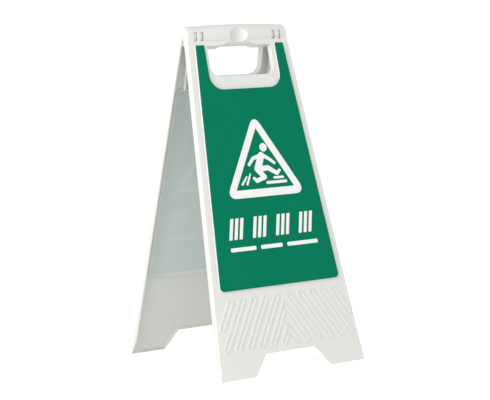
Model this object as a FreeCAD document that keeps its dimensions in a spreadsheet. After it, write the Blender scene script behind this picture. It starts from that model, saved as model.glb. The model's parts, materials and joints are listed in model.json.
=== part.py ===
# A folding two-leaf floor sign: two moulded leaves hung on one carrying barrel.
# Millimetres, +Z up. The origin is on the floor under the hinge axis; the front leaf faces -Y.
# Each leaf is drawn upright in its own frame, with the hinge axis on X and the outer face towards -Y,
# and its Placement leans it out by half of the opening angle.
import FreeCAD, Part
import math
import os
import Sketcher

doc = FreeCAD.newDocument("FloorSign")

# --------------------------------------------------------------------------- driving sizes
SIZES = [
    # whole sign
    ("axis_height", 588.0, "hinge axis above the floor, sign open"),
    ("lean_angle", 14.5, "lean of each leaf from the vertical, degrees"),
    ("base_width", 300.0, "width of a leaf at the floor"),
    ("top_width", 208.0, "width of a leaf at the hinge axis"),
    # moulded tray of each leaf
    ("rim_gap", 2.0, "hinge axis to the rim of the side flanges"),
    ("flange_depth", 12.5, "outer face to the rim of the side flanges"),
    ("skin", 2.5, "thickness of the main panel"),
    ("flange_wall", 2.5, "thickness of the side flanges"),
    ("tray_top", 19.0, "hinge axis down to the top of the hollow"),
    ("edge_round", 1.6, "rounding of the long outer edges"),
    ("flange_end", 30.0, "length over which a flange runs out above the floor"),
    ("toe_height", 4.0, "plain foot edge under the end of the flange"),
    # feet
    ("notch_bottom_width", 161.0, "gap between the feet at the floor"),
    ("notch_top_width", 105.0, "gap between the feet at its top"),
    ("notch_height", 37.0, "height of that gap along the face"),
    ("notch_corner", 3.0, "corner radius at the top of that gap"),
    ("notch_rim", 2.4, "width of the rim round the gap"),
    ("notch_rim_depth", 2.2, "height of that rim behind the panel"),
    ("tooth_width", 3.0, "grip tooth behind the foot edge"),
    ("tooth_pitch", 6.0, "spacing of the grip teeth"),
    ("tooth_tall", 7.0, "height of a grip tooth"),
    ("tooth_proud", 2.2, "grip tooth proud of the panel"),
    ("tooth_edge", 5.0, "foot corner to the first tooth"),
    # raised land that carries the label
    ("label_border", 14.0, "leaf edge to label edge"),
    ("label_top", 20.7, "hinge axis down to the label ears"),
    ("label_above", 152.6, "foot edge up to the lower label edge"),
    ("label_sheet", 0.5, "thickness of the label film"),
    ("label_corner", 8.0, "lower corner radius of the label"),
    ("ear_corner", 2.0, "corner radius of the label ears"),
    ("label_gap", 0.8, "label edge to the edge of its land"),
    ("land_rise", 2.5, "height of the land above the face"),
    ("land_bevel", 2.0, "bevel round the land"),
    ("ear_gap_side", 7.0, "hand hole to the label ears beside it"),
    ("ear_gap_below", 25.0, "hand hole to the label below it"),
    ("back_ramp", 4.6, "width of the ramp round the recess behind the land"),
    ("bead_gap", 0.3, "recess to the bead round it"),
    ("bead_width", 2.0, "width of that bead"),
    ("bead_height", 2.0, "height of that bead"),
    # hand hole
    ("post_width", 37.0, "leaf side at the hinge axis to the hand hole"),
    ("hole_drop", 77.5, "hinge axis down to the foot of the hand hole"),
    ("hole_corner", 19.0, "corner radius of the hand hole"),
    ("hole_wall", 2.5, "wall round the hand hole"),
    ("post_rib_inset", 16.0, "leaf side to the stiffening rib of a post"),
    ("post_rib_wall", 2.0, "thickness of that rib"),
    # slanted ribs on the lower panel
    ("rib_top", 133.1, "foot edge up to the upper rib ends, on their centre line"),
    ("rib_bottom", 53.1, "foot edge up to the lower rib ends"),
    ("rib_pitch", 23.6, "spacing of the slanted rib loops"),
    ("rib_width", 11.5, "width of a loop over its ridges"),
    ("rib_ridge", 2.5, "width of the ridge that makes a loop"),
    ("rib_rise", 1.3, "height of a ridge"),
    ("rib_gap", 0.8, "middle of the leaf to the open ends of the first loops"),
    ("rib_slope", 30.0, "slant of a rib from the vertical, degrees"),
    ("rib_first", 11.8, "lower end of the first rib from the middle"),
    # carrying barrel on top of the front leaf
    ("barrel_ends", 17.0, "radius of the barrel at its ends"),
    ("barrel_crown", 2.8, "extra radius of the barrel at mid span"),
    ("barrel_edge", 1.5, "bevel at the ends of the barrel"),
    ("core_wall", 2.0, "wall round each hollow of the barrel"),
    ("core_inner", 27.0, "start of each hollow from the middle"),
    ("core_inset", 38.0, "barrel end to the outer end of its hollow"),
    ("core_window", 18.0, "height of the opening at the back of a hollow"),
    ("dish_radius", 25.7, "radius of the thumb dish"),
    ("dish_depth", 8.4, "depth of the thumb dish"),
    ("pad_length", 30.5, "pad under each end of the grip"),
    ("pad_drop", 21.8, "hinge axis down to the pad"),
    ("pad_slope", 21.0, "length over which the pad runs out"),
    ("pad_back", 8.5, "hinge axis to the back of the pad"),
    # hinge
    ("inner_slot", 29.2, "barrel end to the middle of the inner knuckle"),
    ("outer_slot", 16.2, "barrel end to the middle of the outer knuckle"),
    ("chamber_wall", 1.2, "barrel wall round a knuckle chamber"),
    ("window_up", 3.5, "knuckle window above the axis"),
    ("window_down", 12.5, "knuckle window below the axis"),
    ("knuckle_width", 4.5, "width of a knuckle"),
    ("knuckle_side", 1.25, "clearance beside a knuckle"),
    ("knuckle_gap", 0.5, "clearance round a knuckle"),
    ("pin_diameter", 6.0, "hinge pin"),
    ("pin_fit", 0.05, "radial clearance of the pin"),
    ("pin_cover", 3.8, "barrel end to the tip of the pin"),
    ("pin_lip", 1.5, "pin head proud of the pin"),
    ("pin_head", 2.0, "thickness of the pin head"),
    ("cheek_wall", 3.3, "barrel end that the rear flange covers"),
    ("swing_gap", 0.8, "clearance of the rear leaf round the barrel"),
    ("swing_lead", 1.2, "hinge axis back to the room for the rear leaf"),
    ("stop_gap", 0.2, "clearance at the opening stop"),
]

sheet = doc.addObject("Spreadsheet::Sheet", "Sizes")
for row, (alias, number, note) in enumerate(SIZES, start=1):
    sheet.set("A%d" % row, note)
    sheet.set("B%d" % row, "%g" % number)
    sheet.setAlias("B%d" % row, alias)
doc.recompute()


def size(alias):
    """Current number of a named size."""
    return float(sheet.get(alias))


# Expressions that several sketches share.  Drop is the distance down from the hinge axis.
LEAN = "Sizes.lean_angle"
FACE = "(Sizes.rim_gap + Sizes.flange_depth)"
FOOT = "((Sizes.axis_height + %s * sin(%s)) / cos(%s))" % (FACE, LEAN, LEAN)
FLARE = "((Sizes.base_width - Sizes.top_width) / 2 / %s)" % FOOT
RIM = "Sizes.rim_gap"
BACK = "(%s - Sizes.skin)" % FACE
END_X = "(Sizes.top_width / 2)"
HOLE_X = "(%s - Sizes.post_width)" % END_X
LABEL_LOW = "(%s - Sizes.label_above)" % FOOT
EAR_DROP = "(Sizes.hole_drop + Sizes.ear_gap_below)"
CORE_X = "(%s - Sizes.core_inset)" % END_X
PIN_X = "(%s - Sizes.pin_cover)" % END_X
CHAMBER_R = "(Sizes.barrel_ends - Sizes.chamber_wall)"
BARREL_MID = "(Sizes.barrel_ends + Sizes.barrel_crown)"
PIN_R = "(Sizes.pin_diameter / 2)"


def half_width(drop):
    """Half width of a leaf at a drop below the axis."""
    return "(Sizes.top_width / 2 + %s * (%s))" % (FLARE, drop)


def minus(text):
    return "-(%s)" % text


def number_of(text):
    """Value of an expression over the named sizes."""
    result = sheet.evalExpression(text.replace("Sizes.", ""))
    return float(getattr(result, "Value", result))


# --------------------------------------------------------------------------- drawing helpers
def new_body(label):
    body = doc.addObject("PartDesign::Body", label)
    body.Label = label
    return body


def origin_plane(body, role):
    for item in body.Origin.OriginFeatures:
        if item.Role == role:
            return item
    raise ValueError("no plane " + role)


def new_sketch(body, name, role, offset="0"):
    """A sketch on an origin plane, moved along the plane's normal by an expression."""
    sketch = body.newObject("Sketcher::SketchObject", name)
    sketch.AttachmentSupport = [(origin_plane(body, role), "")]
    sketch.MapMode = "FlatFace"
    sketch.AttachmentOffset = FreeCAD.Placement(
        FreeCAD.Vector(0, 0, number_of(offset)), FreeCAD.Rotation())
    if offset != "0":
        sketch.setExpression("AttachmentOffset.Base.z", offset)
    return sketch


def pin_point(sketch, geometry, position, across, along):
    """Fix one point of a sketch at two expressions."""
    for kind, text in (("DistanceX", across), ("DistanceY", along)):
        index = sketch.addConstraint(
            Sketcher.Constraint(kind, geometry, position, number_of(text)))
        sketch.setExpression("Constraints[%d]" % index, text)


def polygon(sketch, corners):
    """A closed outline. A corner is two expressions, and a third one where it is rounded."""
    points = [FreeCAD.Vector(number_of(item[0]), number_of(item[1]), 0) for item in corners]
    count = len(points)
    first = sketch.GeometryCount
    trims = []
    for index, item in enumerate(corners):
        if len(item) < 3:
            trims.append((points[index], points[index]))
            continue
        before = (points[index - 1] - points[index]).normalize()
        after = (points[(index + 1) % count] - points[index]).normalize()
        reach = number_of(item[2]) / math.tan(before.getAngle(after) / 2)
        trims.append((points[index] + before * reach, points[index] + after * reach))
    for index in range(count):
        line = Part.LineSegment(trims[index][1], trims[(index + 1) % count][0])
        sketch.addGeometry(line, False)
    for index, item in enumerate(corners):
        before = first + (index - 1) % count
        after = first + index
        if len(item) < 3:
            sketch.addConstraint(Sketcher.Constraint("Coincident", before, 2, after, 1))
            pin_point(sketch, after, 1, item[0], item[1])
        else:
            round_corner(sketch, before, after, points[index], item)


def round_corner(sketch, before, after, corner, item):
    """An arc between two lines, whose sharp corner is held by a construction point."""
    start = sketch.getPoint(before, 2)
    end = sketch.getPoint(after, 1)
    radius = number_of(item[2])
    middle = (start + end) * 0.5
    toward = (middle - corner).normalize()
    centre = corner + toward * math.hypot(radius, (start - corner).Length)
    bulge = centre - toward * radius
    arc = sketch.addGeometry(Part.Arc(start, bulge, end), False)
    near = 1 if (sketch.getPoint(arc, 1) - start).Length < 1e-6 else 2
    sketch.addConstraint(Sketcher.Constraint("Tangent", before, 2, arc, near))
    sketch.addConstraint(Sketcher.Constraint("Tangent", arc, 3 - near, after, 1))
    spot = sketch.addGeometry(Part.Point(corner), True)
    pin_point(sketch, spot, 1, item[0], item[1])
    sketch.addConstraint(Sketcher.Constraint("PointOnObject", spot, 1, before))
    sketch.addConstraint(Sketcher.Constraint("PointOnObject", spot, 1, after))
    index = sketch.addConstraint(Sketcher.Constraint("Radius", arc, radius))
    sketch.setExpression("Constraints[%d]" % index, item[2])


def box_outline(sketch, left, right, low, high):
    polygon(sketch, [(left, low), (right, low), (right, high), (left, high)])


def stadium(sketch, top, bottom, radius):
    """A rib outline with round ends between two points given as pairs of expressions."""
    upper = FreeCAD.Vector(number_of(top[0]), number_of(top[1]), 0)
    lower = FreeCAD.Vector(number_of(bottom[0]), number_of(bottom[1]), 0)
    reach = number_of(radius)
    slope = math.atan2(upper.y - lower.y, upper.x - lower.x)
    side = FreeCAD.Vector(-math.sin(slope), math.cos(slope), 0) * reach
    normal = FreeCAD.Vector(0, 0, 1)
    first = sketch.GeometryCount
    cap = Part.ArcOfCircle(Part.Circle(upper, normal, reach), slope - math.pi / 2, slope + math.pi / 2)
    sketch.addGeometry(cap, False)
    sketch.addGeometry(Part.LineSegment(upper + side, lower + side), False)
    cup = Part.ArcOfCircle(Part.Circle(lower, normal, reach), slope + math.pi / 2, slope + math.pi * 1.5)
    sketch.addGeometry(cup, False)
    sketch.addGeometry(Part.LineSegment(lower - side, upper - side), False)
    for index in range(4):
        following = first + (index + 1) % 4
        sketch.addConstraint(Sketcher.Constraint("Tangent", first + index, 2, following, 1))
    pin_point(sketch, first, 3, *top)
    pin_point(sketch, first + 2, 3, *bottom)
    for arc in (first, first + 2):
        index = sketch.addConstraint(Sketcher.Constraint("Radius", arc, reach))
        sketch.setExpression("Constraints[%d]" % index, radius)


def open_loop(sketch, foot_x, foot_y):
    """A ridge round a slanted strip, closed below and cut off by the middle of the leaf above."""
    steep = "tan(Sizes.rib_slope)"
    upright = "cos(Sizes.rib_slope)"
    outer = "(Sizes.rib_width / 2)"
    inner = "(Sizes.rib_width / 2 - Sizes.rib_ridge)"

    def head(reach):
        rise = "(%s + (%s) / %s - Sizes.rib_gap) / %s" % (foot_x, reach, upright, steep)
        return "-Sizes.rib_gap", "%s + %s" % (foot_y, rise)

    def tail(reach, half):
        across = "(%s + (%s) / %s + %s * %s)" % (foot_x, reach, upright, half, steep)
        return minus(across), "%s - %s" % (foot_y, half), "%s * 0.96" % half

    polygon(sketch, [
        head(outer), tail(outer, outer), tail("-" + outer, outer), head("-" + outer),
        head("-" + inner), tail("-" + inner, inner), tail(inner, inner), head(inner),
    ])


def settle(feature):
    """Recompute, and stop at the first feature that fails."""
    doc.recompute()
    if "Invalid" in feature.State or feature.Shape.isNull() or not feature.Shape.isValid():
        raise RuntimeError("failed feature: %s %s" % (feature.Name, feature.State))
    return feature


def extrude(body, kind, name, sketch, length, back=False, middle=False):
    """A Pad or a Pocket of a sketch by a length expression."""
    feature = body.newObject("PartDesign::" + kind, name)
    feature.Profile = sketch
    feature.Length = number_of(length)
    feature.setExpression("Length", length)
    feature.Reversed = back
    if middle:
        feature.SideType = "Symmetric"
    return settle(feature)


def spin(body, kind, name, sketch):
    """A full Revolution or Groove of a sketch about the hinge axis."""
    feature = body.newObject("PartDesign::" + kind, name)
    feature.Profile = sketch
    feature.ReferenceAxis = (sketch, ["H_Axis"])
    feature.Angle = 360.0
    return settle(feature)


def edge_names(feature, wanted):
    """Names of the edges of a feature for which wanted(start, end, middle) holds."""
    names = []
    for index, edge in enumerate(feature.Shape.Edges, start=1):
        start = edge.Vertexes[0].Point
        end = edge.Vertexes[-1].Point
        middle = edge.valueAt((edge.FirstParameter + edge.LastParameter) / 2)
        if wanted(start, end, middle):
            names.append("Edge%d" % index)
    return names


def soften(body, kind, name, feature, edges, reach):
    """A Fillet or a Chamfer of a feature's edges by an expression."""
    if not edges:
        raise ValueError(name + " found no edge")
    result = body.newObject("PartDesign::" + kind, name)
    result.Base = (feature, edges)
    prop = "Radius" if kind == "Fillet" else "Size"
    setattr(result, prop, number_of(reach))
    result.setExpression(prop, reach)
    return settle(result)


def mirrored_boxes(sketch, spans, low, high):
    """Boxes over spans of X, given as (inner, outer) expressions, on both sides."""
    for inner, outer in spans:
        box_outline(sketch, inner, outer, low, high)
        box_outline(sketch, minus(outer), minus(inner), low, high)


def knuckle_span(inset, room):
    """Span of X of a knuckle, given its middle from the barrel end, with room on each side."""
    half = "(Sizes.knuckle_width / 2 + %s)" % room
    return ("(%s - %s - %s)" % (END_X, inset, half), "(%s - %s + %s)" % (END_X, inset, half))


# --------------------------------------------------------------------------- shared outlines
def label_outline(sketch, grow):
    """The label: a flared panel with two ears that stand beside the hand hole."""
    low = "%s + %s" % (LABEL_LOW, grow)
    high = "Sizes.label_top - %s" % grow
    notch = "%s + %s" % (EAR_DROP, grow)
    gap = "(%s + Sizes.ear_gap_side - %s)" % (HOLE_X, grow)
    low_x = "(%s - Sizes.label_border + %s)" % (half_width(low), grow)
    high_x = "(%s - Sizes.label_border + %s)" % (half_width(high), grow)
    gap_round = "(Sizes.hole_corner + Sizes.ear_gap_side - %s)" % grow
    low_round = "(Sizes.label_corner + %s)" % grow
    ear_round = "(Sizes.ear_corner + %s)" % grow
    polygon(sketch, [
        (minus(low_x), minus(low), low_round),
        (low_x, minus(low), low_round),
        (high_x, minus(high), ear_round),
        (gap, minus(high), ear_round),
        (gap, minus(notch), gap_round),
        (minus(gap), minus(notch), gap_round),
        (minus(gap), minus(high), ear_round),
        (minus(high_x), minus(high), ear_round),
    ])


def recess_outline(sketch, grow):
    """The hollow behind the land, below the hand hole."""
    high = "(%s - (%s))" % (EAR_DROP, grow)
    low = "(%s + (%s))" % (LABEL_LOW, grow)
    high_x = "(%s - Sizes.label_border + (%s))" % (half_width(high), grow)
    low_x = "(%s - Sizes.label_border + (%s))" % (half_width(low), grow)
    bend = "(Sizes.label_corner + (%s))" % grow
    polygon(sketch, [(minus(low_x), minus(low), bend), (low_x, minus(low), bend),
                     (high_x, minus(high), bend), (minus(high_x), minus(high), bend)])


def tray(body):
    """The moulded panel that both leaves share, from the hinge axis down to the feet."""
    # Slab between the outer face and the flange rims.
    outline = new_sketch(body, "LeafOutline", "XZ_Plane", FACE)
    below = "(%s + 20)" % FOOT
    low_x = half_width(below)
    polygon(outline, [(minus(low_x), minus(below)), (low_x, minus(below)), (END_X, "0"),
                      (minus(END_X), "0")])
    slab = extrude(body, "Pad", "LeafSlab", outline, "Sizes.flange_depth", back=True)
    face_y = -number_of(FACE)

    def long_edge(start, end, middle):
        on_face = abs(start.y - face_y) < 0.001 and abs(end.y - face_y) < 0.001
        return on_face and abs(start.z - end.z) > 100
    slab = soften(body, "Fillet", "LongEdges", slab, edge_names(slab, long_edge), "Sizes.edge_round")

    # Hollow behind the panel, open towards the floor.
    hollow = new_sketch(body, "HollowOutline", "XZ_Plane", RIM)
    past = "(%s + 40)" % FOOT
    in_low = "(%s - Sizes.flange_wall)" % half_width(past)
    in_top = "(%s - Sizes.flange_wall)" % half_width("Sizes.tray_top")
    polygon(hollow, [(minus(in_low), minus(past)), (in_low, minus(past)),
                     (in_top, "-Sizes.tray_top"), (minus(in_top), "-Sizes.tray_top")])
    extrude(body, "Pocket", "Hollow", hollow, "Sizes.flange_depth - Sizes.skin", back=True)

    # Raised land for the label, bevelled all round.
    land = new_sketch(body, "LandOutline", "XZ_Plane", FACE)
    label_outline(land, "Sizes.label_gap")
    raised = extrude(body, "Pad", "Land", land, "Sizes.land_rise")
    land_y = -number_of("%s + Sizes.land_rise" % FACE)

    def land_edge(start, end, middle):
        return all(abs(point.y - land_y) < 0.001 for point in (start, end, middle))
    soften(body, "Chamfer", "LandBevel", raised, edge_names(raised, land_edge), "Sizes.land_bevel")

    # Recess behind the land, so that the panel keeps its thickness, with a ramp all round.
    mouth = new_sketch(body, "RecessMouth", "XZ_Plane", BACK)
    recess_outline(mouth, "Sizes.back_ramp / 2")
    floor = new_sketch(body, "RecessFloor", "XZ_Plane", "%s + Sizes.land_rise" % BACK)
    recess_outline(floor, "-Sizes.back_ramp / 2")
    recess = body.newObject("PartDesign::SubtractiveLoft", "Recess")
    recess.Profile = mouth
    recess.Sections = [floor]
    recess.Ruled = True
    settle(recess)

    # Bead round the recess.
    bead = new_sketch(body, "BeadOutline", "XZ_Plane", BACK)
    bead_in = "Sizes.back_ramp / 2 + Sizes.bead_gap"
    recess_outline(bead, bead_in)
    recess_outline(bead, "%s + Sizes.bead_width" % bead_in)
    extrude(body, "Pad", "Bead", bead, "Sizes.bead_height", back=True)

    # Wall round the hand hole, then the hole itself, open to the barrel above it.
    wall = new_sketch(body, "HoleWallOutline", "XZ_Plane", RIM)
    wall_x = "(%s + Sizes.hole_wall)" % HOLE_X
    wall_z = "(Sizes.hole_drop + Sizes.hole_wall)"
    bend = "Sizes.hole_corner + Sizes.hole_wall"
    high = "-Sizes.tray_top + 5"
    polygon(wall, [(minus(wall_x), high), (minus(wall_x), minus(wall_z), bend),
                   (wall_x, minus(wall_z), bend), (wall_x, high)])
    extrude(body, "Pad", "HoleWall", wall, "Sizes.flange_depth - Sizes.skin / 2")
    hole = new_sketch(body, "HoleOutline", "XZ_Plane", "%s + 5" % FACE)
    bend = "Sizes.hole_corner"
    polygon(hole, [(minus(HOLE_X), "5"), (minus(HOLE_X), "-Sizes.hole_drop", bend),
                   (HOLE_X, "-Sizes.hole_drop", bend), (HOLE_X, "5")])
    extrude(body, "Pocket", "HandHole", hole, "Sizes.flange_depth + 10")

    # Stiffening rib behind each post.
    posts = new_sketch(body, "PostRibOutline", "XZ_Plane", RIM)
    inner = "(%s - Sizes.post_rib_inset - Sizes.post_rib_wall / 2)" % END_X
    outer = "(%s - Sizes.post_rib_inset + Sizes.post_rib_wall / 2)" % END_X
    mirrored_boxes(posts, [(inner, outer)], "-%s + 4" % EAR_DROP, "-Sizes.tray_top + 2")
    extrude(body, "Pad", "PostRibs", posts, "Sizes.flange_depth - Sizes.skin / 2")

    # Slanted rib loops on the lower panel, drawn for one half and mirrored.
    ribs = new_sketch(body, "RibOutline", "XZ_Plane", FACE)
    rib_head = "-(%s - Sizes.rib_top)" % FOOT
    rib_tail = "-(%s - Sizes.rib_bottom)" % FOOT
    rise = "(Sizes.rib_top - Sizes.rib_bottom)"
    steep = "tan(Sizes.rib_slope)"
    for index in range(2):
        open_loop(ribs, "(Sizes.rib_first + %d * Sizes.rib_pitch)" % index, rib_tail)
    for index in range(2, 7):
        foot_x = "(Sizes.rib_first + %d * Sizes.rib_pitch)" % index
        head = (minus("(%s - %s * %s)" % (foot_x, rise, steep)), rib_head)
        tail = (minus(foot_x), rib_tail)
        if index == 6:
            # The last loop would run past the leaf, so it stops short of the edge.
            cut = "(Sizes.rib_pitch * 0.9 / %s)" % steep
            tail = (minus("(%s - %s * %s)" % (foot_x, cut, steep)), "%s + %s" % (rib_tail, cut))
        stadium(ribs, head, tail, "Sizes.rib_width / 2")
        stadium(ribs, head, tail, "Sizes.rib_width / 2 - Sizes.rib_ridge")
    raised_ribs = extrude(body, "Pad", "Ribs", ribs, "Sizes.rib_rise")
    mirror = body.newObject("PartDesign::Mirrored", "RibsOtherHalf")
    mirror.Originals = [raised_ribs]
    mirror.MirrorPlane = (origin_plane(body, "YZ_Plane"), [""])
    body.Tip = mirror
    doc.recompute()

    # Rim behind the gap between the feet, then the gap.
    rim = new_sketch(body, "NotchRimOutline", "XZ_Plane", BACK)
    trim = "Sizes.notch_rim"
    top = "(%s - Sizes.notch_height)" % FOOT
    slant = "((Sizes.notch_bottom_width - Sizes.notch_top_width) / 2 / Sizes.notch_height)"
    far = "(%s + 15)" % FOOT
    top_x = "Sizes.notch_top_width / 2"
    far_x = "(%s + %s * (Sizes.notch_height + 15))" % (top_x, slant)
    polygon(rim, [(minus("%s + %s * 1.25" % (far_x, trim)), minus(far)),
                  ("%s + %s * 1.25" % (far_x, trim), minus(far)),
                  ("%s + %s * 0.6" % (top_x, trim), minus("(%s - %s)" % (top, trim))),
                  (minus("%s + %s * 0.6" % (top_x, trim)), minus("(%s - %s)" % (top, trim)))])
    extrude(body, "Pad", "NotchRim", rim, "Sizes.notch_rim_depth", back=True)
    notch = new_sketch(body, "NotchOutline", "XZ_Plane", "%s + 5" % FACE)
    bend = "Sizes.notch_corner"
    polygon(notch, [(minus(far_x), minus(far)), (far_x, minus(far)), (top_x, minus(top), bend),
                    (minus(top_x), minus(top), bend)])
    extrude(body, "Pocket", "FootGap", notch, "Sizes.flange_depth + 10")

    # Grip teeth behind each foot edge.
    teeth = new_sketch(body, "ToothOutline", "XZ_Plane", BACK)
    corner = "(Sizes.base_width / 2 - Sizes.flange_wall - Sizes.tooth_edge)"
    reach = "(%s - Sizes.notch_bottom_width / 2 - Sizes.tooth_edge - Sizes.notch_rim)" % corner
    low = minus("%s + 10" % FOOT)
    tall = "-%s + Sizes.tooth_tall" % FOOT
    box_outline(teeth, minus(corner), "%s + Sizes.tooth_width" % minus(corner), low, tall)
    box_outline(teeth, "%s - %s" % (corner, reach), "%s - %s + Sizes.tooth_width" % (corner, reach),
                low, tall)
    tooth = extrude(body, "Pad", "Tooth", teeth, "Sizes.tooth_proud", back=True)
    row = body.newObject("PartDesign::LinearPattern", "TeethRow")
    row.Originals = [tooth]
    row.Direction = (teeth, ["H_Axis"])
    gaps = int((number_of(reach) - size("tooth_width")) / size("tooth_pitch"))
    row.Length = gaps * size("tooth_pitch")
    row.setExpression("Length", "%d * Sizes.tooth_pitch" % gaps)
    row.Occurrences = gaps + 1
    body.Tip = row
    doc.recompute()

    # Side view cut: feet flush with the floor when the sign is open, flanges run out above them.
    side = new_sketch(body, "FootCut", "YZ_Plane")

    def floor_drop(front):
        return "((Sizes.axis_height + (%s) * sin(%s)) / cos(%s))" % (front, LEAN, LEAN)
    front = "(%s + 10)" % FACE
    toe = "(%s - Sizes.tooth_proud)" % BACK
    polygon(side, [
        (minus(front), minus(floor_drop(front))),
        (minus(toe), minus(floor_drop(toe))),
        (minus(toe), minus("(%s - Sizes.toe_height)" % floor_drop(toe))),
        (minus(RIM), minus("(%s - Sizes.flange_end)" % FOOT)),
        ("5", minus("(%s - Sizes.flange_end)" % FOOT)),
        ("5", minus("(%s + 60)" % FOOT)),
        (minus(front), minus("(%s + 60)" % FOOT)),
    ])
    extrude(body, "Pocket", "FootCutThrough", side, "Sizes.base_width + 60", middle=True)


def swing_room(body, name, spans):
    """Room in the barrel for the rear leaf, between folded flat and fully open."""
    doc.recompute()
    lead = "Sizes.swing_lead"
    for index, (inner, outer) in enumerate(spans):
        for side, start in (("Right", inner), ("Left", minus(outer))):
            outline = new_sketch(body, "%s%s%d" % (name, side, index), "YZ_Plane", start)
            open_slope = "tan(2 * %s)" % LEAN
            lift = "(Sizes.stop_gap / cos(2 * %s))" % LEAN
            polygon(outline, [
                (lead, "-40"),
                (lead, "%s * %s + %s" % (lead, open_slope, lift)),
                ("40", "40 * %s + %s" % (open_slope, lift)),
                ("40", "-40"),
            ])
            extrude(body, "Pocket", "%s%s%dCut" % (name, side, index), outline,
                    "(%s) - (%s)" % (outer, inner), back=True)


# --------------------------------------------------------------------------- front leaf
front_leaf = new_body("front_leaf")
tray(front_leaf)

# Barrel: slightly crowned, so that it fits the hand.
profile = new_sketch(front_leaf, "BarrelProfile", "XZ_Plane")
half = size("top_width") / 2
bevel = size("barrel_edge")
end_r = size("barrel_ends")
ends = [FreeCAD.Vector(-half + bevel, end_r, 0), FreeCAD.Vector(half - bevel, end_r, 0)]
crown = Part.Arc(ends[0], FreeCAD.Vector(0, number_of(BARREL_MID), 0), ends[1])
profile.addGeometry(crown, False)
line_points = [
    (ends[1], FreeCAD.Vector(half, end_r - bevel, 0)),
    (FreeCAD.Vector(half, end_r - bevel, 0), FreeCAD.Vector(half, 0, 0)),
    (FreeCAD.Vector(half, 0, 0), FreeCAD.Vector(-half, 0, 0)),
    (FreeCAD.Vector(-half, 0, 0), FreeCAD.Vector(-half, end_r - bevel, 0)),
    (FreeCAD.Vector(-half, end_r - bevel, 0), ends[0]),
]
for start, end in line_points:
    profile.addGeometry(Part.LineSegment(start, end), False)
EDGE_X = "(%s - Sizes.barrel_edge)" % END_X
EDGE_Z = "(Sizes.barrel_ends - Sizes.barrel_edge)"
pin_point(profile, 1, 1, EDGE_X, "Sizes.barrel_ends")
pin_point(profile, 1, 2, END_X, EDGE_Z)
pin_point(profile, 2, 2, END_X, "0")
pin_point(profile, 3, 2, minus(END_X), "0")
pin_point(profile, 4, 2, minus(END_X), EDGE_Z)
pin_point(profile, 5, 2, minus(EDGE_X), "Sizes.barrel_ends")
for line in (1, 2, 3, 4):
    profile.addConstraint(Sketcher.Constraint("Coincident", line, 2, line + 1, 1))
arc_ends = sorted((1, 2), key=lambda spot: profile.getPoint(0, spot).x)
profile.addConstraint(Sketcher.Constraint("Coincident", 0, arc_ends[0], 5, 2))
profile.addConstraint(Sketcher.Constraint("Coincident", 0, arc_ends[1], 1, 1))
sag = "Sizes.barrel_crown"
sweep = "((%s ^ 2 + %s ^ 2) / (2 * %s))" % (EDGE_X, sag, sag)
bow = profile.addConstraint(Sketcher.Constraint("Radius", 0, number_of(sweep)))
profile.setExpression("Constraints[%d]" % bow, sweep)
spin(front_leaf, "Revolution", "Barrel", profile)

# Pads that lower the grip at both ends of the hand hole. Their back halves stay clear of the rear leaf.
pad_in = "(%s - Sizes.pad_length)" % HOLE_X
for name, pad_out, reach, back in (("Front", "(%s + 0.5)" % HOLE_X, FACE, False),
                                   ("Back", "(%s - Sizes.swing_gap / 2)" % HOLE_X, "Sizes.pad_back", True)):
    pads = new_sketch(front_leaf, "Pad%sOutline" % name, "XZ_Plane")
    for sign in ("", "-"):
        polygon(pads, [
            ("%s%s" % (sign, pad_out), "-Sizes.barrel_ends + 4"),
            ("%s%s" % (sign, pad_out), "-Sizes.pad_drop"),
            ("%s%s" % (sign, pad_in), "-Sizes.pad_drop"),
            ("%s(%s - Sizes.pad_slope)" % (sign, pad_in), "-Sizes.barrel_ends + 4"),
        ])
    extrude(front_leaf, "Pad", "%sPads" % name, pads, reach, back=back)

# Hollows of the grip and chambers of the knuckles.
INNER = knuckle_span("Sizes.inner_slot", "Sizes.knuckle_side")
OUTER = knuckle_span("Sizes.outer_slot", "Sizes.knuckle_side")
chambers = new_sketch(front_leaf, "ChamberOutline", "XZ_Plane")
mirrored_boxes(chambers, [INNER, OUTER], "0", CHAMBER_R)
mirrored_boxes(chambers, [("Sizes.core_inner", CORE_X)], "0", "Sizes.barrel_ends - Sizes.core_wall")
spin(front_leaf, "Groove", "Chambers", chambers)
backs = new_sketch(front_leaf, "BackOpening", "XZ_Plane")
mirrored_boxes(backs, [("Sizes.core_inner", "(%s - 4)" % CORE_X)],
               "-Sizes.core_window / 2", "Sizes.core_window / 2")
extrude(front_leaf, "Pocket", "BackOpenings", backs, "%s + 5" % BARREL_MID)

# Windows in front of the knuckles.
windows = new_sketch(front_leaf, "WindowOutline", "XZ_Plane", "%s + 5" % BARREL_MID)
mirrored_boxes(windows, [INNER, OUTER], "-Sizes.window_down", "Sizes.window_up")
extrude(front_leaf, "Pocket", "Windows", windows, "%s + 1" % BARREL_MID)

# Bores for the two pins, blind at the barrel ends.
bores = new_sketch(front_leaf, "BoreOutline", "XZ_Plane")
mirrored_boxes(bores, [("(%s - 2)" % CORE_X, "(%s + 0.2)" % PIN_X)], "0",
               "%s + Sizes.pin_fit" % PIN_R)
spin(front_leaf, "Groove", "PinBores", bores)

# Room for the rear leaf: its arms in the chambers, its cheeks at the barrel ends.
CHEEK = ("(%s - Sizes.cheek_wall)" % END_X, "(%s + 5)" % END_X)
swing_room(front_leaf, "Swing", [INNER, OUTER, CHEEK])

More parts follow.
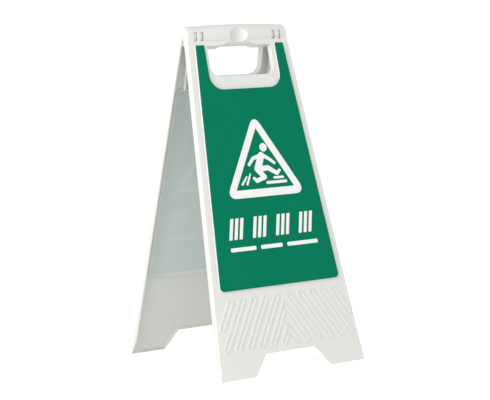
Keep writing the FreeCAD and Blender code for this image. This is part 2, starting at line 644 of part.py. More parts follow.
# Thumb dish in the middle of the grip, facing straight ahead when the sign is open.
dish = front_leaf.newObject("PartDesign::SubtractiveSphere", "ThumbDish")
dish.Radius = size("dish_radius")
dish.setExpression("Radius", "Sizes.dish_radius")
dish_reach = "(%s + Sizes.dish_radius - Sizes.dish_depth)" % BARREL_MID
dish_place = "%s * cos(%s)" % (dish_reach, LEAN)
dish_drop = "-%s * sin(%s)" % (dish_reach, LEAN)
dish.AttachmentSupport = [(origin_plane(front_leaf, "XZ_Plane"), "")]
dish.MapMode = "FlatFace"
dish.AttachmentOffset = FreeCAD.Placement(
    FreeCAD.Vector(0, number_of(dish_drop), number_of(dish_place)), FreeCAD.Rotation())
dish.setExpression("AttachmentOffset.Base.y", dish_drop)
dish.setExpression("AttachmentOffset.Base.z", dish_place)
doc.recompute()

# --------------------------------------------------------------------------- rear leaf
rear_leaf = new_body("rear_leaf")
tray(rear_leaf)

# The posts stop clear of the barrel, except for the arms and the end cheeks.
clear = new_sketch(rear_leaf, "BarrelRoom", "XZ_Plane")
ARM_IN = knuckle_span("Sizes.inner_slot", "0")
ARM_OUT = knuckle_span("Sizes.outer_slot", "0")
ROOM = "(Sizes.barrel_ends + 0.45 * Sizes.barrel_crown + Sizes.swing_gap)"
mirrored_boxes(clear, [("(%s - 5)" % HOLE_X, ARM_IN[0]), (ARM_IN[1], ARM_OUT[0]),
                       (ARM_OUT[1], "(%s - Sizes.cheek_wall + 0.3)" % END_X)], "0", ROOM)
spin(rear_leaf, "Groove", "BarrelClearance", clear)

# Knuckles round the pins.
knuckles = new_sketch(rear_leaf, "KnuckleOutline", "XZ_Plane")
mirrored_boxes(knuckles, [ARM_IN, ARM_OUT], "0", "%s - Sizes.knuckle_gap" % CHAMBER_R)
spin(rear_leaf, "Revolution", "Knuckles", knuckles)
eyes = new_sketch(rear_leaf, "EyeOutline", "XZ_Plane")
mirrored_boxes(eyes, [(CORE_X, PIN_X)], "0", "%s + Sizes.pin_fit" % PIN_R)
spin(rear_leaf, "Groove", "KnuckleEyes", eyes)

# --------------------------------------------------------------------------- labels
labels = []
for label in ("front_label", "rear_label"):
    body = new_body(label)
    sheet_sketch = new_sketch(body, "LabelOutline", "XZ_Plane", "%s + Sizes.land_rise" % FACE)
    label_outline(sheet_sketch, "0")
    extrude(body, "Pad", "Film", sheet_sketch, "Sizes.label_sheet")
    labels.append(body)

# --------------------------------------------------------------------------- hinge pins
pins = []
for label, sign in (("right_hinge_pin", ""), ("left_hinge_pin", "-")):
    body = new_body(label)
    side = new_sketch(body, "PinProfile", "XZ_Plane")
    start = "%s(%s - Sizes.pin_head)" % (sign, CORE_X)
    head = "%s%s" % (sign, CORE_X)
    tip = "%s%s" % (sign, PIN_X)
    neck = "%s(%s - 0.6)" % (sign, PIN_X)
    lip = "%s + Sizes.pin_lip" % PIN_R
    polygon(side, [(start, "0"), (start, lip), (head, lip), (head, PIN_R), (neck, PIN_R),
                   (tip, "%s - 0.6" % PIN_R), (tip, "0")])
    spin(body, "Revolution", "Pin", side)
    pins.append(body)

# --------------------------------------------------------------------------- placing
lean = size("lean_angle")
axis = FreeCAD.Vector(0, 0, size("axis_height"))
lean_front = FreeCAD.Rotation(FreeCAD.Vector(1, 0, 0), -lean)
lean_rear = FreeCAD.Rotation(FreeCAD.Vector(1, 0, 0), lean)
turn = FreeCAD.Rotation(FreeCAD.Vector(0, 0, 1), 180)
front_leaf.Placement = FreeCAD.Placement(axis, lean_front)
labels[0].Placement = FreeCAD.Placement(axis, lean_front)
rear_leaf.Placement = FreeCAD.Placement(axis, lean_rear.multiply(turn))
labels[1].Placement = FreeCAD.Placement(axis, lean_rear.multiply(turn))
for pin in pins:
    pin.Placement = FreeCAD.Placement(axis, lean_front)
pieces = [front_leaf, rear_leaf] + labels + pins
for piece in pieces:
    piece.setExpression("Placement.Base.z", "Sizes.axis_height")
doc.recompute()

# --------------------------------------------------------------------------- checks and export
for item in doc.Objects:
    if "Invalid" in item.State or "Error" in item.State:
        raise RuntimeError("failed object: %s %s" % (item.Name, item.State))
for piece in pieces:
    shape = piece.Shape
    if shape.isNull() or not shape.isValid() or len(shape.Solids) != 1:
        raise RuntimeError("bad shape: " + piece.Label)
    print("%-16s volume %10.1f mm3  solids %d" % (piece.Label, shape.Volume, len(shape.Solids)))
os.makedirs("parts", exist_ok=True)
for piece in pieces:
    piece.Shape.exportStep("parts/%s.step" % piece.Label)
print("pieces written:", len(pieces))
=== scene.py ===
# %% [markdown]
# # A folding wet floor sign
#
# A wet floor sign of this kind is two white plastic leaves that hang on one barrel, the handle, and fold
# together like a book. A green printed film lies on the outside of each leaf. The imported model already
# holds every moulded shape at its real size, so this lesson adds what a mould and a printer add: the
# finish of each plastic, the printed marks on the films, and a studio to see them in.
#
# The first step is to load that model and to take every place from it, because a number copied by hand
# would be wrong as soon as the model changed.

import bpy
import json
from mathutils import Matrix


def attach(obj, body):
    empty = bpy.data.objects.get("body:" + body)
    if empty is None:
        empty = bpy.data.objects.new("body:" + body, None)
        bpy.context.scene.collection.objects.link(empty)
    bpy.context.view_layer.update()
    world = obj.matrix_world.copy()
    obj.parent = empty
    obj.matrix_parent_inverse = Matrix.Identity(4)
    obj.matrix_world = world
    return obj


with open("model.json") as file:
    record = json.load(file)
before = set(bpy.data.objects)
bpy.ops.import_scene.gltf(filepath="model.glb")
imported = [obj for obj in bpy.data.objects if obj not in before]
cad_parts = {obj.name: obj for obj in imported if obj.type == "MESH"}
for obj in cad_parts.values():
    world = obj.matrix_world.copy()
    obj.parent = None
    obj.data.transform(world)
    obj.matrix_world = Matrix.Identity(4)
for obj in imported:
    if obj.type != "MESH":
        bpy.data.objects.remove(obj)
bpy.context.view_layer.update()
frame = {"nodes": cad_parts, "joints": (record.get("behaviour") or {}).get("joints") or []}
print("pieces of the model:", ", ".join(sorted(frame["nodes"])))

# %% [markdown]
# ## Where the leaves are
#
# Both leaves lean away from the same hinge line, each by half of the joint's travel. Anything printed on
# a leaf is easiest to draw flat: *right* across the leaf, *up* towards the hinge, and *out* of its face,
# with the hinge line as the origin. One matrix per leaf then carries the flat drawing to its place.
# The distance from the hinge line to the film comes from the film's own mesh.

# %% Planes of the two leaves
import math

import bmesh
import bpy
from mathutils import Matrix, Vector

MM = 0.001
FRONT, REAR = -1, 1

fold = frame["joints"][0]
hinge = Vector(fold["pos_m"])
lean = math.radians(fold["range_deg"][1]) / 2


def leaf_axes(side):
    """Right, up and out of a leaf, for someone who stands in front of its outer face."""
    right = Vector((-side, 0, 0))
    out = Vector((0, side * math.cos(lean), math.sin(lean)))
    return right, out.cross(right), out


def furthest(node, direction):
    """How far a node of the model reaches from the hinge line along a direction."""
    return max((corner.co - hinge).dot(direction) for corner in frame["nodes"][node].data.vertices)


def leaf_plane(side, film):
    """Matrix that lays a flat drawing on the outer face of a film."""
    right, up, out = leaf_axes(side)
    plane = Matrix((right, up, out)).transposed().to_4x4()
    plane.translation = hinge + out * furthest(film, out)
    return plane


FILMS = {"front": (FRONT, "front_label"), "rear": (REAR, "rear_label")}
for body, (side, film) in FILMS.items():
    print(body, "film lies", round(furthest(film, leaf_axes(side)[2]) / MM, 2), "mm from the hinge line")

# %% [markdown]
# ## Sums on shader sockets
#
# A finish is a picture made of sums: *grain plus swell*, *one minus the mask*. Drawing each sum as a chain
# of Math nodes takes ten lines. The class below wraps a socket, so that `1 - mask * 0.5` adds the Math
# nodes by itself. Every other node comes from one method, which sets the node's own settings first,
# because they can change the sockets that it has, and then fills the sockets.

# %% A small workbench for materials
class Signal:
    """A socket of a finish. Sums on it add Math nodes."""

    def __init__(self, finish, socket):
        self.finish = finish
        self.socket = socket

    def sum(self, operation, first, second):
        return self.finish.node("ShaderNodeMath", {"operation": operation}, {0: first, 1: second})

    def __add__(self, other):
        return self.sum("ADD", self, other)

    __radd__ = __add__

    def __mul__(self, other):
        return self.sum("MULTIPLY", self, other)

    __rmul__ = __mul__

    def __sub__(self, other):
        return self.sum("SUBTRACT", self, other)

    def __rsub__(self, other):
        return self.sum("SUBTRACT", other, self)

    def __abs__(self):
        return self.sum("ABSOLUTE", self, 0.0)

    def at_least(self, other):
        return self.sum("MAXIMUM", self, other)

    def ease(self, start, end):
        """A soft step from 0 at start to 1 at end."""
        return self.finish.node("ShaderNodeMapRange", {"interpolation_type": "SMOOTHSTEP"},
                                {"Value": self, "From Min": start, "From Max": end})

    def fade(self, start, end):
        """A soft step from 1 at start to 0 at end."""
        return self.finish.node("ShaderNodeMapRange", {"interpolation_type": "SMOOTHSTEP"},
                                {"Value": self, "From Min": start, "From Max": end,
                                 "To Min": 1.0, "To Max": 0.0})


class Finish:
    """A material that is built node by node around one Principled shader."""

    def __init__(self, name, **constants):
        self.material = bpy.data.materials.new(name)
        self.material.use_nodes = True
        self.tree = self.material.node_tree
        self.shader = self.tree.nodes["Principled BSDF"]
        for socket, value in constants.items():
            self.shader.inputs[socket.replace("_", " ")].default_value = value

    def node(self, kind, settings=None, sockets=None, take=0):
        """Any node: its settings first, then values or links for its sockets."""
        made = self.tree.nodes.new(kind)
        for setting, value in (settings or {}).items():
            setattr(made, setting, value)
        for socket, value in (sockets or {}).items():
            self.fill(made.inputs[socket], value)
        return Signal(self, made.outputs[take])

    def fill(self, socket, value):
        if isinstance(value, Signal):
            self.tree.links.new(value.socket, socket)
        else:
            socket.default_value = value

    def surface(self, **signals):
        """Connect what varies over the surface to the shader."""
        for socket, signal in signals.items():
            self.fill(self.shader.inputs[socket.replace("_", " ")], signal)
        return self.material

    def place(self):
        """The piece's own coordinates, in metres."""
        return self.node("ShaderNodeTexCoord", take="Object")

    def noise(self, size, detail=2.0, stretch=(1, 1, 1)):
        """Noise whose blotches are about one size across, in metres. A stretch below 1 draws them out."""
        place = self.node("ShaderNodeMapping", {"vector_type": "POINT"},
                          {"Vector": self.place(), "Scale": stretch})
        return self.node("ShaderNodeTexNoise", {"noise_dimensions": "3D"},
                         {"Vector": place, "Scale": 1 / size, "Detail": detail})

    def mix(self, share, first, second):
        """Blend of two colours."""
        return self.node("ShaderNodeMix", {"data_type": "RGBA"}, {0: share, 6: first, 7: second}, take=2)

    def relief(self, height):
        """Normal of a surface whose height is given in metres."""
        return self.node("ShaderNodeBump", None, {"Height": height, "Distance": 1.0, "Strength": 1.0})

    def along(self, direction, start):
        """Distance along a direction from a point, in metres."""
        dot = self.node("ShaderNodeVectorMath", {"operation": "DOT_PRODUCT"},
                        {0: self.place(), 1: tuple(direction)}, take="Value")
        return dot - start.dot(direction)


print("workbench ready")

# %% [markdown]
# ## What is printed on the films
#
# The print is a warning triangle with a slipping figure, and rows of plain bars below it. It carries no
# words. A print could be a picture on the film, but then its edges would blur close up. Here each mark is
# real geometry: a layer of ink a tenth of a millimetre thick, so its edges stay sharp at any distance.
#
# All the sizes of the drawing stand in one place, in millimetres across from its own middle and down from
# the hinge line. That middle sits a little off the middle of the leaf, as printed film often does. The
# finish of the leaves needs the sizes too, because the plastic is thin enough for the print to show through
# from behind.

# %% Sizes of the printed drawing
OFF_CENTRE = 2.0
INK = 0.10 * MM

TRIANGLE_OUTER = {"apex": 149.0, "base": 299.5, "half": 83.0, "round": 12.0}
TRIANGLE_INNER = {"apex": 176.0, "base": 285.3, "half": 60.5, "round": 1.0}
STRIPE_ROW = {"left": -92.0, "right": 89.0, "top": 333.5, "foot": 371.0}
STRIPE_GROUPS = 4
GROUP_GAP = 12.0
STRIPES_IN_GROUP = 3
STRIPE_SHARE = 0.62
STRIPE_SLANT = 9.0
WORD_BARS = ((-92.0, -40.0), (-30.0, 15.0), (25.0, 90.0))
WORD_BAR_TOP = 385.0
WORD_BAR_FOOT = 392.0


def stripe_groups():
    """Left and right end of every group of stripes."""
    width = (STRIPE_ROW["right"] - STRIPE_ROW["left"] - (STRIPE_GROUPS - 1) * GROUP_GAP) / STRIPE_GROUPS
    starts = [STRIPE_ROW["left"] + group * (width + GROUP_GAP) for group in range(STRIPE_GROUPS)]
    return [(start, start + width) for start in starts]


print("the drawing is", STRIPE_ROW["right"] - STRIPE_ROW["left"], "mm wide")

# %% [markdown]
# ## White moulded plastic
#
# The leaves are injection moulded polypropylene: white with a touch of warmth, matte, and never quite flat.
# Three things make it look real. A fine spark grain from the mould breaks up the highlight. A slow swell
# of a fifth of a millimetre bends the reflections of a large panel. And where the film lies behind
# a panel, its green shines through the wall and turns the white cooler, except where the print is white.
#
# A picture of that ghost would be simple but would not follow the model. It is built instead from the
# same sizes as the print: a leaf's own coordinates, *across* and *drop*, measured with dot products.

# %% Masks on a leaf
RECESS_TOP = 105.0 * MM
RECESS_DEPTH = 2.4 * MM
DEPTH_BLUR = 0.2 * MM
RAMP = 2.3 * MM
EDGE_BLUR = 1.0 * MM
UPPER_STRIP = 10.0 * MM
GHOST_BLUR = 2.5 * MM
STRIPES_SHOW = 0.55
WORDS_SHOW = 0.8


def band(value, low, high, blur):
    """1 between two limits and 0 outside, with blurred edges."""
    return value.ease(low - blur, low + blur) * value.fade(high - blur, high + blur)


def triangle_mask(across, drop, shape, blur):
    """1 inside a triangle with its point up."""
    slope = shape["half"] / (shape["base"] - shape["apex"])
    inside = (drop - shape["apex"] * MM) * slope - across
    return inside.ease(-blur, blur) * drop.fade(shape["base"] * MM - blur, shape["base"] * MM + blur)


def film_taper(side, film):
    """Drop of a film's upper and lower edge, and half of its width at each."""
    up = leaf_axes(side)[1]
    places = [corner.co for corner in frame["nodes"][film].data.vertices]
    corners = [((hinge - place).dot(up), abs(place.x)) for place in places]
    top = min(drop for drop, half in corners)
    foot = max(drop for drop, half in corners)
    half_top = max(half for drop, half in corners if drop < top + UPPER_STRIP)
    return top, foot, half_top, max(half for drop, half in corners)


def print_ghost(across, drop):
    """1 where the film behind the wall is printed white."""
    blur = GHOST_BLUR
    middle = across - OFF_CENTRE * MM
    ring = (triangle_mask(abs(middle), drop, TRIANGLE_OUTER, blur)
            - triangle_mask(abs(middle), drop, TRIANGLE_INNER, blur))
    stripes = (band(drop, STRIPE_ROW["top"] * MM, STRIPE_ROW["foot"] * MM, blur)
               * sum(band(middle, left * MM, right * MM, blur) for left, right in stripe_groups()))
    words = (band(drop, WORD_BAR_TOP * MM, WORD_BAR_FOOT * MM, blur)
             * sum(band(middle, left * MM, right * MM, blur) for left, right in WORD_BARS))
    return ring.at_least(stripes * STRIPES_SHOW + words * WORDS_SHOW)


def recess_mask(across, drop, depth, side, film):
    """1 on the floor of the recess behind the film, on the inner side of a leaf."""
    film_top, film_foot, half_top, half_foot = film_taper(side, film)
    flare = (half_foot - half_top) / (film_foot - film_top)
    edge = abs(across) - (drop - film_top) * flare
    floor_depth = furthest(film, leaf_axes(side)[2]) - RECESS_DEPTH
    return (band(drop, RECESS_TOP, film_foot - RAMP, EDGE_BLUR)
            * edge.fade(half_top - RAMP - EDGE_BLUR, half_top - RAMP + EDGE_BLUR)
            * depth.fade(floor_depth - DEPTH_BLUR, floor_depth + DEPTH_BLUR))


print("masks ready; the ghost of the print is blurred over", round(GHOST_BLUR / MM, 1), "mm")

# %% [markdown]
# The masks now join the plastic. The colours are the white itself, the white with green behind it, and the
# grey of a scuffed foot. The bump heights are real heights: the grain is at most two hundredths of
# a millimetre high.

# %% Moulded leaf finish
WHITE = (0.735, 0.742, 0.700, 1)
WHITE_BLOTCH = (0.762, 0.769, 0.730, 1)
WHITE_OVER_GREEN = (0.630, 0.700, 0.680, 1)
SCUFFED = (0.46, 0.45, 0.42, 1)
GHOST_CONTRAST = 0.55
SCUFF_SHARE = 0.10
SCUFF_START = 540 * MM
SCUFF_FULL = 612 * MM
GRAIN_HEIGHT = 0.020 * MM
SWELL_HEIGHT = 0.22 * MM


def moulded_plastic(name, side, film):
    """White plastic of one leaf, with the ghost of its film on the inner side."""
    finish = Finish(name, IOR=1.49, Specular_IOR_Level=0.30)
    right, up, out = leaf_axes(side)
    across = finish.along(right, hinge)
    drop = finish.along(-up, hinge)
    depth = finish.along(out, hinge)
    ghost = recess_mask(across, drop, depth, side, film) * (1 - print_ghost(across, drop) * GHOST_CONTRAST)

    blotch = finish.noise(180 * MM, 3.0)
    scuff = finish.noise(9 * MM, 6.0, (1, 1, 0.25)).ease(0.56, 0.72) * drop.ease(SCUFF_START, SCUFF_FULL)
    white = finish.mix(blotch, WHITE, WHITE_BLOTCH)
    tinted = finish.mix(ghost, white, WHITE_OVER_GREEN)
    worn = finish.mix(scuff * SCUFF_SHARE, tinted, SCUFFED)

    grain = finish.noise(0.7 * MM, 2.0)
    swell = finish.noise(70 * MM, 1.0)
    roughness = 0.40 + finish.noise(25 * MM, 4.0) * 0.10 + scuff * 0.15
    return finish.surface(Base_Color=worn, Roughness=roughness,
                          Normal=finish.relief(grain * GRAIN_HEIGHT + swell * SWELL_HEIGHT))


for body, (side, film) in FILMS.items():
    leaf = frame["nodes"][body + "_leaf"]
    leaf.data.materials.clear()
    leaf.data.materials.append(moulded_plastic(body + "_moulded_white", side, film))
    print(leaf.name, "has", len(leaf.data.polygons), "faces and", leaf.material_slots[0].name)

# %% [markdown]
# ## Green film and white ink
#
# The film is a smooth self-adhesive sheet. Its green hardly varies, but its gloss does: the adhesive leaves
# a faint orange peel, and cleaning leaves hairline scratches. The peel goes into the height and the
# scratches into the roughness and the coat, since strong blotches in the colour would only look dirty.
# The ink is a little less smooth than the bare film and lets a trace of green through where it is thin.

# %% Film and ink finishes
GREEN_DEEP = (0.0006, 0.172, 0.090, 1)
GREEN_LIGHT = (0.0010, 0.192, 0.101, 1)
INK_WHITE = (0.86, 0.868, 0.838, 1)
INK_THIN = (0.30, 0.56, 0.46, 1)


def film_finish():
    """Smooth green film with orange peel and hairline scratches."""
    finish = Finish("green_film", IOR=1.47, Specular_IOR_Level=0.04, Coat_Roughness=0.12)
    tone = finish.noise(60 * MM, 3.0)
    green = finish.mix(tone, GREEN_DEEP, GREEN_LIGHT)
    peel = finish.noise(2.2 * MM, 1.0) * 0.010 * MM
    bow = finish.noise(80 * MM, 1.0) * 0.15 * MM
    hairlines = finish.noise(1.1 * MM, 3.0, (0.06, 1, 1)).ease(0.60, 0.72)
    return finish.surface(Base_Color=green, Roughness=0.34 + tone * 0.08 + hairlines * 0.12,
                          Coat_Weight=0.02 - hairlines * 0.015, Normal=finish.relief(peel + bow))


def ink_finish():
    """White ink that is thin in small spots."""
    finish = Finish("white_ink", IOR=1.47, Specular_IOR_Level=0.25)
    thin = finish.noise(1.6 * MM, 4.0).ease(0.58, 0.80)
    white = finish.mix(thin * 0.10, INK_WHITE, INK_THIN)
    tooth = finish.noise(0.9 * MM, 2.0) * 0.008 * MM
    return finish.surface(Base_Color=white, Roughness=0.34 + thin * 0.12, Normal=finish.relief(tooth))


green_film = film_finish()
white_ink = ink_finish()
for side, film in FILMS.values():
    node = frame["nodes"][film]
    node.data.materials.clear()
    node.data.materials.append(green_film)
    print(node.name, "is covered in", node.material_slots[0].name)

# %% [markdown]
# ## Hinge pins
#
# Each end of the barrel hides a short turned pin. It shows only through the knuckle windows, so its finish
# is simple: grey plastic rod with the fine rings that a lathe leaves. The rings run round the pin because
# the bands of the wave texture follow the place along it, with a slight wobble.

# %% Turned pin finish
PIN_DARK = (0.34, 0.345, 0.34, 1)
PIN_LIGHT = (0.40, 0.40, 0.385, 1)


def pin_finish():
    """Grey turned plastic with lathe rings."""
    finish = Finish("turned_grey", IOR=1.48, Specular_IOR_Level=0.5)
    rings = finish.node("ShaderNodeTexWave", {"wave_type": "BANDS", "bands_direction": "X"},
                        {"Vector": finish.place(), "Scale": 400.0, "Distortion": 0.3})
    tone = finish.mix(finish.noise(5 * MM, 3.0), PIN_DARK, PIN_LIGHT)
    return finish.surface(Base_Color=tone, Roughness=0.36 + rings * 0.10,
                          Normal=finish.relief(rings * 0.015 * MM))


turned_grey = pin_finish()
for name in ("left_hinge_pin", "right_hinge_pin"):
    node = frame["nodes"][name]
    node.data.materials.clear()
    node.data.materials.append(turned_grey)

# %% [markdown]
# ## Drawing in ink
#
# Every mark of the print starts flat, in the plane of the drawing, and is then raised to the thickness of
# the ink and laid on each film. A face that is raised keeps its old face as the underside, so the
# layer is closed. The normals are recalculated afterwards, because a raised face may end up inside out.

# %% Raising and laying the ink
def flat(x, drop):
    """A point of the drawing: millimetres from its middle and down from the hinge line."""
    return Vector(((OFF_CENTRE + x) * MM, -drop * MM, 0))


def raise_ink(sketch):
    """Give the flat faces of a drawing the thickness of the ink."""
    raised = bmesh.ops.extrude_face_region(sketch, geom=sketch.faces[:])
    tops = [item for item in raised["geom"] if isinstance(item, bmesh.types.BMVert)]
    bmesh.ops.translate(sketch, verts=tops, vec=(0, 0, INK))
    bmesh.ops.recalc_face_normals(sketch, faces=sketch.faces[:])


def lay_ink(sketch, mark):
    """Lay a copy of a drawing on each film, and let it move with its leaf."""
    for body, (side, film) in FILMS.items():
        mesh = bpy.data.meshes.new(f"{body}_{mark}")
        sketch.to_mesh(mesh)
        mesh.transform(leaf_plane(side, film))
        mesh.materials.append(white_ink)
        piece = bpy.data.objects.new(mesh.name, mesh)
        bpy.context.scene.collection.objects.link(piece)
        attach(piece, body)
        print(piece.name, "has", len(mesh.polygons), "faces")
    sketch.free()


# %% [markdown]
# ## The warning triangle
#
# A triangle is a circle with three sides. Its corners are set to the real ones and bevelled, which rounds
# them. The band is the space between a large triangle and a small one, so both loops are made and
# bridged. The same number of steps in every corner gives both loops the same count, and the bridge
# is then made of plain quads.

# %% Triangle band
CORNER_STEPS = 6


def triangle_loop(sketch, shape):
    """One loop of edges round a triangle with rounded corners."""
    made = bmesh.ops.create_circle(sketch, segments=3, radius=1.0)
    left = flat(-shape["half"], shape["base"])
    right = flat(shape["half"], shape["base"])
    corners = [flat(0, shape["apex"]), left, right]
    for vert, corner in zip(made["verts"], corners):
        vert.co = corner
    edges = {edge for vert in made["verts"] for edge in vert.link_edges}
    before = {edge for edge in sketch.edges if edge not in edges}
    cut = shape["round"] * MM / math.tan(math.radians(30))
    bmesh.ops.bevel(sketch, geom=made["verts"], offset=cut, offset_type="OFFSET", affect="VERTICES",
                    segments=CORNER_STEPS, profile=0.5, material=-1)
    return [edge for edge in sketch.edges if edge not in before]


sketch = bmesh.new()
outer_loop = triangle_loop(sketch, TRIANGLE_OUTER)
inner_loop = triangle_loop(sketch, TRIANGLE_INNER)
bmesh.ops.bridge_loops(sketch, edges=outer_loop + inner_loop)
raise_ink(sketch)
lay_ink(sketch, "triangle")

# %% [markdown]
# ## The slipping figure
#
# The figure is a general one: a round head and a body of tapered rods, falling backwards with one foot in
# the air, above a puddle. Every rod is given by the two discs at its ends, each with its place across, its
# drop from the hinge line and its radius, so a limb is moved by changing two points.

# %% Rods of the figure and the puddle
FIGURE = {
    "head": ((9.0, 211.5, 7.6), (9.2, 211.6, 7.6)),
    "body": ((2, 226, 6.4), (-9, 249, 7.2)),
    "leading_upper_arm": ((4, 225, 3.6), (17, 233, 3.2)),
    "leading_forearm": ((17, 233, 3.2), (27, 241, 2.8)),
    "trailing_upper_arm": ((-1, 226, 3.6), (-16, 230, 3.2)),
    "trailing_forearm": ((-16, 230, 3.2), (-26, 241, 2.8)),
    "raised_thigh": ((-8, 250, 5.4), (12, 249, 4.6)),
    "raised_shin": ((12, 249, 4.6), (29, 260, 3.6)),
    "raised_foot": ((29, 260, 3.6), (35, 255, 2.8)),
    "bent_thigh": ((-10, 251, 5.4), (2, 265, 4.6)),
    "bent_shin": ((2, 265, 4.6), (-15, 271, 3.6)),
    "bent_foot": ((-15, 271, 3.6), (-20, 266, 2.8)),
}
PUDDLE = {
    "near_edge": ((6, 275.5, 2.6), (45, 275.5, 2.6)),
    "far_edge": ((22, 267.5, 2.2), (40, 267.5, 2.2)),
    "splash_low": ((-46, 275.0, 2.2), (-35, 262.0, 1.5)),
    "splash_high": ((-36, 275.5, 2.2), (-27, 258.0, 1.5)),
}
print("the figure has", len(FIGURE), "rods and the puddle", len(PUDDLE))

# %% [markdown]
# A rod is the convex hull of two discs, which gives it round ends and a taper in one step. The rods overlap
# at the joints, though, and two layers of ink in the same place would flicker. So they are made as tall
# posts, each a little taller than the one before, and a thin slab of ink keeps only what lies inside any of
# them. The different heights matter: no two posts end on the same plane, which a Boolean handles badly.
# The discs lose their own walls before the hull is drawn, or every post would have its skin twice.

# %% Cutting the figure and the puddle from a slab of ink
DISC_STEPS = 24
SHORTEST_POST = 4.0
POST_STEP = 0.3
SLAB_SIDE = 160 * MM
SLAB_MIDDLE_DROP = 240


def post(sketch, start, end, height):
    """A tapered post between two discs, each given as across, drop and radius in millimetres."""
    discs = []
    for x, drop, radius in (start, end):
        made = bmesh.ops.create_cone(sketch, cap_ends=True, segments=DISC_STEPS, radius1=radius * MM,
                                     radius2=radius * MM, depth=height)
        bmesh.ops.translate(sketch, verts=made["verts"], vec=flat(x, drop))
        discs += made["verts"]
    walls = {item for vert in discs for item in (*vert.link_edges, *vert.link_faces)}
    bmesh.ops.delete(sketch, geom=list(walls), context="EDGES_FACES")
    hull = bmesh.ops.convex_hull(sketch, input=discs)
    spare = {item for key in ("geom_interior", "geom_unused") for item in hull[key]}
    bmesh.ops.delete(sketch, geom=[item for item in spare if isinstance(item, bmesh.types.BMVert)],
                     context="VERTS")


def stand_in(name, sketch):
    """A short-lived object for a modifier to work on."""
    mesh = bpy.data.meshes.new(name)
    sketch.to_mesh(mesh)
    sketch.free()
    item = bpy.data.objects.new(name, mesh)
    bpy.context.scene.collection.objects.link(item)
    return item


def cut_from_slab(rods, name):
    """The part of a thin slab of ink that lies inside any of the rods."""
    rods_sketch = bmesh.new()
    for step, (start, end) in enumerate(rods.values()):
        post(rods_sketch, start, end, (SHORTEST_POST + POST_STEP * step) * MM)
    slab = bmesh.new()
    made = bmesh.ops.create_cube(slab, size=1.0)
    bmesh.ops.scale(slab, verts=made["verts"], vec=(SLAB_SIDE, SLAB_SIDE, INK))
    bmesh.ops.translate(slab, verts=made["verts"], vec=flat(0, SLAB_MIDDLE_DROP) + Vector((0, 0, INK / 2)))
    posts = stand_in(name + "_posts", rods_sketch)
    piece = stand_in(name, slab)
    cut = piece.modifiers.new("cut", "BOOLEAN")
    cut.operation = "INTERSECT"
    cut.solver = "EXACT"
    cut.use_self = True
    cut.object = posts
    bpy.context.view_layer.update()
    result = bmesh.new()
    result.from_object(piece, bpy.context.evaluated_depsgraph_get())
    for item in (piece, posts):
        bpy.data.objects.remove(item)
    return result


lay_ink(cut_from_slab(FIGURE, "figure"), "figure")
lay_ink(cut_from_slab(PUDDLE, "puddle"), "puddle")

# %% [markdown]
# ## Stripes and bars
#
# Below the triangle the real films carry words. Here the same places hold plain marks: four groups of
# slanted stripes and three bars. Every mark is a unit square that is stretched, leant over and
# placed, with its corners bevelled like the corners of a printed block.

# %% Stripe groups and word bars
BLOCK_CORNER_STEPS = 4
STRIPE_CORNER = 1.0
BAR_CORNER = 2.0


def block(sketch, left, right, top, foot, corner, slant=0.0):
    """A printed block, leaning to the right at its top by the slant."""
    made = bmesh.ops.create_grid(sketch, x_segments=1, y_segments=1, size=0.5)
    for vert in made["verts"]:
        x = left if vert.co.x < 0 else right
        low = vert.co.y < 0
        vert.co = flat(x + (0 if low else slant), foot if low else top)
    bmesh.ops.bevel(sketch, geom=made["verts"], offset=corner * MM, offset_type="OFFSET",
                    affect="VERTICES", segments=BLOCK_CORNER_STEPS, profile=0.5, material=-1)


sketch = bmesh.new()
for start, end in stripe_groups():
    stripe_pitch = (end - start - STRIPE_SLANT) / (STRIPES_IN_GROUP - 1 + STRIPE_SHARE)
    for stripe in range(STRIPES_IN_GROUP):
        left = start + stripe * stripe_pitch
        block(sketch, left, left + stripe_pitch * STRIPE_SHARE,
              STRIPE_ROW["top"], STRIPE_ROW["foot"], STRIPE_CORNER, STRIPE_SLANT)
raise_ink(sketch)
lay_ink(sketch, "stripes")

sketch = bmesh.new()
for left, right in WORD_BARS:
    block(sketch, left, right, WORD_BAR_TOP, WORD_BAR_FOOT, BAR_CORNER)
raise_ink(sketch)
lay_ink(sketch, "bars")

# %% [markdown]
# ## Camera
#
# The camera stands to the left of the sign, about level with the handle and nearly three metres away. From
# there a long lens keeps the leaves from spreading towards the floor. Its aim is written as an angle round
# the sign, an angle above the floor and a slight roll, because these are what someone behind a camera
# changes, and the rotation matrix is worked out from them.

# %% Camera
AZIMUTH = math.radians(-31.55)
ELEVATION = math.radians(5.8)
ROLL = math.radians(-2.13)
AIM = Vector((12.35, 0, 288.3)) * MM
DISTANCE = 2832 * MM
LENS = 113.9

back = Vector((math.sin(AZIMUTH) * math.cos(ELEVATION), -math.cos(AZIMUTH) * math.cos(ELEVATION),
               math.sin(ELEVATION)))
level = back.cross(Vector((0, 0, -1))).normalized()
upright = back.cross(level)
level_rolled = level * math.cos(ROLL) + upright * math.sin(ROLL)
upright_rolled = upright * math.cos(ROLL) - level * math.sin(ROLL)

camera = bpy.data.objects.new("camera", bpy.data.cameras.new("camera"))
camera.data.lens = LENS
camera.data.sensor_width = 36
camera.data.clip_start = 0.05
camera.data.clip_end = 300
camera.matrix_world = Matrix((level_rolled, upright_rolled, back)).transposed().to_4x4()
camera.matrix_world.translation = AIM + back * DISTANCE
bpy.context.scene.collection.objects.link(camera)
bpy.context.scene.camera = camera
print("camera stands at", [round(value, 3) for value in camera.matrix_world.translation])

# %% [markdown]
# ## Studio
#
# The sign stands on a wide white floor that meets a white surround. A large soft light low on the left
# gives the side of each leaf its brightness, and a weaker one near the camera lifts the printed face. Both
# stay on the left, because a lamp on the right would mirror in the smooth film. Soft shadows need large
# lamps, so both are two metres and more across.

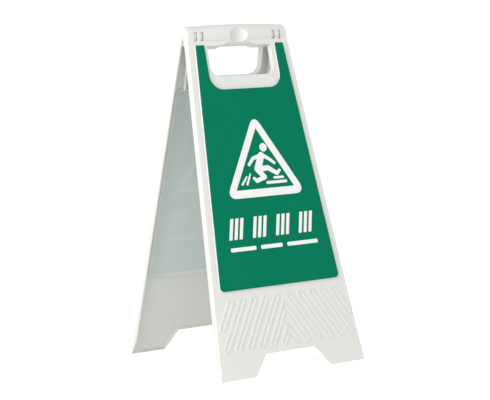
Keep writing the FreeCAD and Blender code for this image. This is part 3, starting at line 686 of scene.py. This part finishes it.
# %% Lights
def soft_light(name, position, size, power, target=Vector((0, 0, 0.3))):
    """A round lamp that faces the middle of the sign."""
    lamp = bpy.data.lights.new(name, "AREA")
    lamp.shape = "DISK"
    lamp.size = size
    lamp.energy = power
    light = bpy.data.objects.new(name, lamp)
    bpy.context.scene.collection.objects.link(light)
    light.location = position
    light.rotation_euler = (target - Vector(position)).to_track_quat("-Z", "Y").to_euler()
    print(name, "gives", power, "W")


soft_light("key_light", position=(-3.4, -1.0, 1.5), size=2.0, power=78)
soft_light("fill_light", position=(-0.9, -3.7, 1.2), size=2.4, power=22)

# %% [markdown]
# A surround that lit the sign as strongly as it looks would wash out every rib. So what the camera sees
# and what falls on the sign are set apart with the Light Path node: the surround and the floor look white,
# and they light the sign as a bright grey room would.

# %% Surround and floor
SURROUND_LIGHT = 0.70
SURROUND_SEEN = 1.05
FLOOR_RADIUS = 80.0
PAPER_DULL = (0.88, 0.88, 0.88, 1)
PAPER_BRIGHT = (0.90, 0.90, 0.90, 1)
NO_GLOW = (0, 0, 0, 1)
SEEN_GLOW = (0.45, 0.45, 0.45, 1)


def white_surround():
    """A world that looks white and lights a little less."""
    world = bpy.data.worlds.new("surround")
    world.use_nodes = True
    nodes = world.node_tree.nodes
    links = world.node_tree.links
    path = nodes.new("ShaderNodeLightPath")
    strength = nodes.new("ShaderNodeMapRange")
    strength.inputs["To Min"].default_value = SURROUND_LIGHT
    strength.inputs["To Max"].default_value = SURROUND_SEEN
    nodes["Background"].inputs["Color"].default_value = (1, 1, 1, 1)
    links.new(path.outputs["Is Camera Ray"], strength.inputs["Value"])
    links.new(strength.outputs["Result"], nodes["Background"].inputs["Strength"])
    return world


def white_paper():
    """Matte white floor that looks as white as the surround."""
    finish = Finish("white_paper", Roughness=0.9, Emission_Strength=1.0)
    speckle = finish.noise(30 * MM, 3.0)
    seen = finish.node("ShaderNodeLightPath", take="Is Camera Ray")
    return finish.surface(Base_Color=finish.mix(speckle, PAPER_DULL, PAPER_BRIGHT),
                          Emission_Color=finish.mix(seen, NO_GLOW, SEEN_GLOW))


bpy.context.scene.world = white_surround()
bpy.context.scene.view_settings.view_transform = "Standard"

floor_sketch = bmesh.new()
bmesh.ops.create_circle(floor_sketch, cap_ends=True, segments=64, radius=FLOOR_RADIUS)
floor_mesh = bpy.data.meshes.new("floor")
floor_sketch.to_mesh(floor_mesh)
floor_sketch.free()
floor_mesh.materials.append(white_paper())
floor = bpy.data.objects.new("floor", floor_mesh)
bpy.context.scene.collection.objects.link(floor)
print("the floor reaches", FLOOR_RADIUS, "m")

# %% [markdown]
# ## Last measures
#
# The last cell only imports the json module.

# %% Last cell
import json
